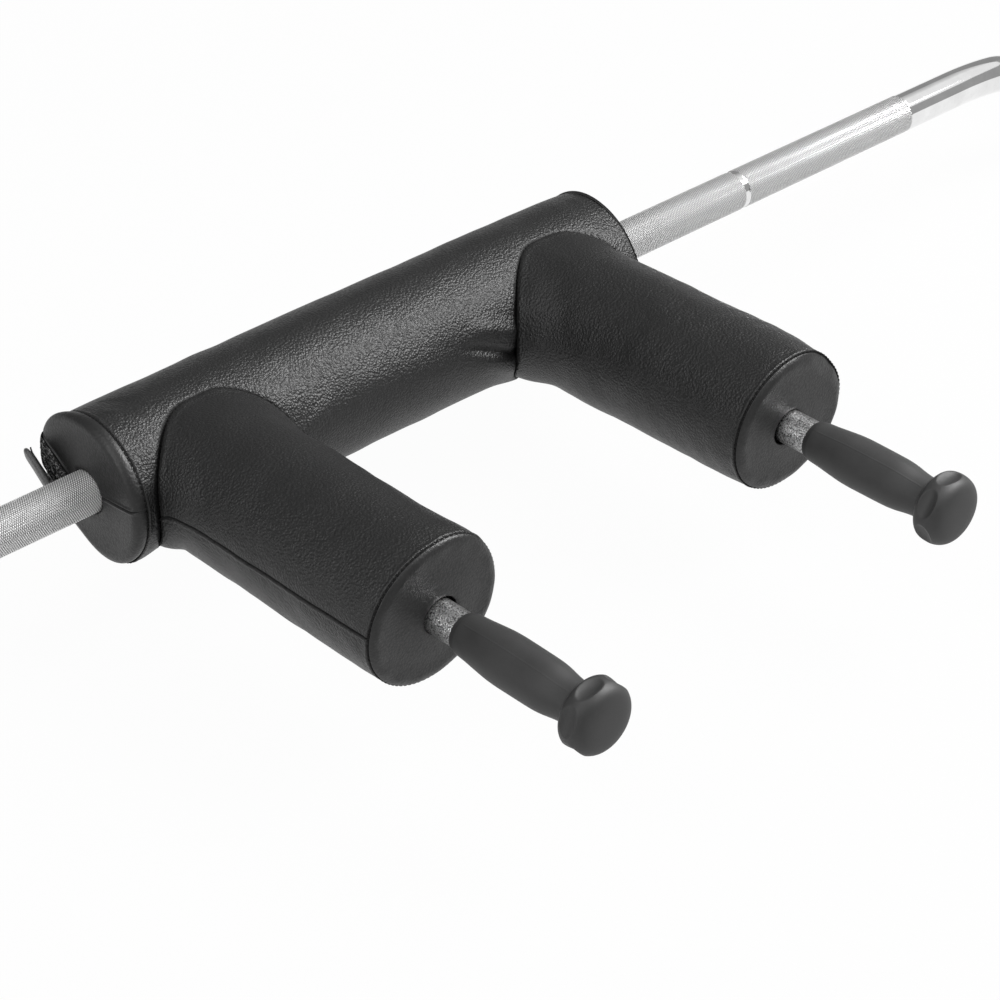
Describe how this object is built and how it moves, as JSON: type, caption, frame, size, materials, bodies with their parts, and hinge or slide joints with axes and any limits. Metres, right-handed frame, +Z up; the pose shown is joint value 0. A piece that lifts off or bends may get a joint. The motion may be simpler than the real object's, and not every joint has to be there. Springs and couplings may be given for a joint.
{
  "type": "safety squat bar",
  "caption": "Cambered barbell with a padded yoke, two forward arms that end in knobbed rubber grips, and freely turning plate sleeves at both ends.",
  "frame": {"origin": "middle of the shaft's straight part, on its axis", "axes": "+X along the shaft, arms along -Y, +Z up with the arms level and the sleeves below the shaft"},
  "size_m": [2.2734, 0.4935, 0.171],
  "materials": {
    "shaft_chrome": "hard chrome, knurled from the pads to 605 mm from the middle",
    "arm_steel": "plated tube with a mottled, finely textured skin",
    "weld_steel": "plain weld bead",
    "foam": "closed-cell foam core",
    "leatherette": "black pebble-grain leatherette, semi-gloss",
    "tape": "black hook-and-loop tape",
    "grip_rubber": "moulded black rubber, semi-matt",
    "sleeve_chrome": "bright chrome",
    "bronze": "sintered bronze",
    "plain_steel": "plain steel",
    "cap_plastic": "black moulded plastic"
  },
  "bodies": {
    "bar": {"shaft": "shaft_chrome", "left_arm_tube": "arm_steel", "left_arm_weld": "weld_steel", "right_arm_tube": "arm_steel", "right_arm_weld": "weld_steel", "main_foam": "foam", "left_arm_foam": "foam", "right_arm_foam": "foam", "main_cover": "leatherette", "left_arm_cover": "leatherette", "right_arm_cover": "leatherette", "left_end_panel": "leatherette", "right_end_panel": "leatherette", "left_arm_end_panel": "leatherette", "right_arm_end_panel": "leatherette", "back_loop_tape": "tape", "left_loop_tape": "tape", "right_loop_tape": "tape", "left_grip": "grip_rubber", "left_thrust_washer": "bronze", "left_outer_washer": "plain_steel", "left_retaining_ring": "plain_steel", "right_grip": "grip_rubber", "right_thrust_washer": "bronze", "right_outer_washer": "plain_steel", "right_retaining_ring": "plain_steel"},
    "left_sleeve_set": {"left_sleeve": "sleeve_chrome", "left_collar": "sleeve_chrome", "left_inner_bush": "bronze", "left_outer_bush": "bronze", "left_end_cap": "cap_plastic"},
    "right_sleeve_set": {"right_sleeve": "sleeve_chrome", "right_collar": "sleeve_chrome", "right_inner_bush": "bronze", "right_outer_bush": "bronze", "right_end_cap": "cap_plastic"},
    "back_closure": {"back_flap": "leatherette", "back_hook_tape": "tape"},
    "left_closure": {"left_flap": "leatherette", "left_hook_tape": "tape"},
    "right_closure": {"right_flap": "leatherette", "right_hook_tape": "tape"}
  },
  "joints": [
    {"name": "left_sleeve_turn", "type": "hinge", "parent": "bar", "child": "left_sleeve_set", "pos_m": [-0.86838, 0, -0.075], "axis": [-1, 0, 0], "continuous": true},
    {"name": "right_sleeve_turn", "type": "hinge", "parent": "bar", "child": "right_sleeve_set", "pos_m": [0.86838, 0, -0.075], "axis": [1, 0, 0], "continuous": true},
    {"name": "back_flap_open", "type": "hinge", "parent": "bar", "child": "back_closure", "pos_m": [0, 0.05676, -0.01628], "axis": [-1, 0, 0], "range_deg": [0, 100]},
    {"name": "left_flap_open", "type": "hinge", "parent": "bar", "child": "left_closure", "pos_m": [-0.249, 0.01901, -0.02819], "axis": [0, -0.829, -0.5592], "range_deg": [-24, 103]},
    {"name": "right_flap_open", "type": "hinge", "parent": "bar", "child": "right_closure", "pos_m": [0.249, 0.01901, -0.02819], "axis": [0, 0.829, 0.5592], "range_deg": [-24, 103]}
  ]
}
